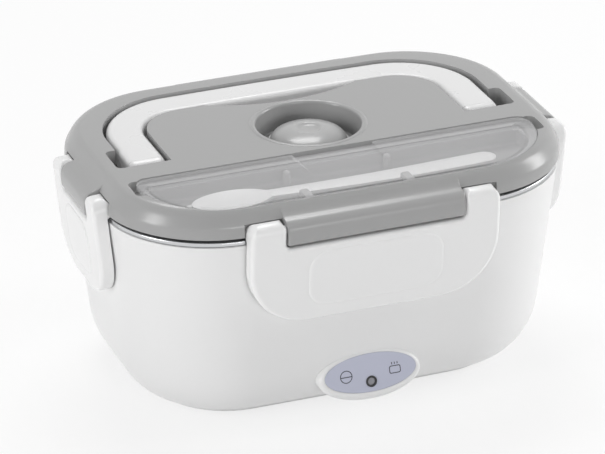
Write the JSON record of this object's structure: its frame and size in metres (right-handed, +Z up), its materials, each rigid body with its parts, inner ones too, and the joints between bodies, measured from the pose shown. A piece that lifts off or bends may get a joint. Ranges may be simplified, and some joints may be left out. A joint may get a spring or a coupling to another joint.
{
  "type": "electric lunch box",
  "caption": "Electric lunch box with a lift-out steel container, clip-on grey lid, four latches, carrying handle, steam valve and covered cutlery compartment.",
  "frame": {"origin": "on the table, under the middle of the box", "axes": "+X along the long side, -Y is the front with the oval pod, +Z up"},
  "size_m": [0.2238, 0.1598, 0.11],
  "materials": {
    "case_plastic": "satin gloss",
    "lid_plastic": "satin gloss",
    "liner_plastic": "matte",
    "panel_plastic": "matte",
    "valve_plastic": "matte",
    "cutlery_plastic": "satin",
    "cover_clear": "clear plastic",
    "container_steel": "brushed",
    "seal_silicone": "matte",
    "foot_rubber": "matte",
    "label_film": "satin film",
    "lamp_lens": "glossy",
    "inlet_plastic": "matte",
    "pin_brass": "satin",
    "fastener_steel": "satin",
    "heater_aluminium": "satin",
    "heater_ceramic": "matte",
    "wire_rubber": "satin",
    "board_laminate": "satin"
  },
  "bodies": {
    "case": {"case_shell": "case_plastic", "base_cover": "case_plastic", "feet": "foot_rubber", "base_screws": "fastener_steel", "inner_liner": "liner_plastic", "heat_plate": "heater_aluminium", "ptc_heater": "heater_ceramic", "heater_clamp": "fastener_steel", "clamp_screws": "fastener_steel", "thermostat": "inlet_plastic", "thermal_fuse": "heater_ceramic", "lead_wires": "wire_rubber", "power_inlet": "inlet_plastic", "inlet_pins": "pin_brass", "indicator_board": "board_laminate", "indicator_led": "lamp_lens", "led_bezel": "inlet_plastic", "control_label": "label_film"},
    "container": {"food_container": "container_steel"},
    "lid": {"lid_shell": "lid_plastic", "lid_inner_panel": "panel_plastic", "lid_seal": "seal_silicone", "valve_seal": "seal_silicone"},
    "valve": {"steam_valve": "valve_plastic"},
    "carry_handle": {"handle": "case_plastic"},
    "fork": {"fork": "cutlery_plastic"},
    "spoon": {"spoon": "cutlery_plastic"},
    "cover": {"cutlery_cover": "cover_clear"},
    "front_latch": {"latch_front": "case_plastic"},
    "right_latch": {"latch_right": "case_plastic"},
    "back_latch": {"latch_back": "case_plastic"},
    "left_latch": {"latch_left": "case_plastic"}
  },
  "joints": [
    {"name": "container_lift", "type": "slide", "parent": "case", "child": "container", "axis": [0, 0, 1], "range_m": [0, 0.08]},
    {"name": "lid_lift", "type": "slide", "parent": "container", "child": "lid", "axis": [0, 0, 1], "range_m": [0, 0.06]},
    {"name": "front_latch_swing", "type": "hinge", "parent": "lid", "child": "front_latch", "pos_m": [0, -0.0754, 0.099], "axis": [-1, 0, 0], "range_deg": [0, 100]},
    {"name": "right_latch_swing", "type": "hinge", "parent": "lid", "child": "right_latch", "pos_m": [0.1074, 0, 0.099], "axis": [0, -1, 0], "range_deg": [0, 100]},
    {"name": "back_latch_swing", "type": "hinge", "parent": "lid", "child": "back_latch", "pos_m": [0, 0.0754, 0.099], "axis": [1, 0, 0], "range_deg": [0, 100]},
    {"name": "left_latch_swing", "type": "hinge", "parent": "lid", "child": "left_latch", "pos_m": [-0.1074, 0, 0.099], "axis": [0, 1, 0], "range_deg": [0, 100]},
    {"name": "handle_swing", "type": "hinge", "parent": "lid", "child": "carry_handle", "pos_m": [0, -0.0045, 0.1035], "axis": [1, 0, 0], "range_deg": [0, 90]},
    {"name": "valve_lift", "type": "slide", "parent": "lid", "child": "valve", "axis": [0, 0, 1], "range_m": [0, 0.004]},
    {"name": "fork_lift", "type": "slide", "parent": "lid", "child": "fork", "axis": [0, 0, 1], "range_m": [0, 0.05]},
    {"name": "spoon_lift", "type": "slide", "parent": "fork", "child": "spoon", "axis": [0, 0, 1], "range_m": [0, 0.05]},
    {"name": "cover_lift", "type": "slide", "parent": "spoon", "child": "cover", "axis": [0, 0, 1], "range_m": [0, 0.05]}
  ]
}
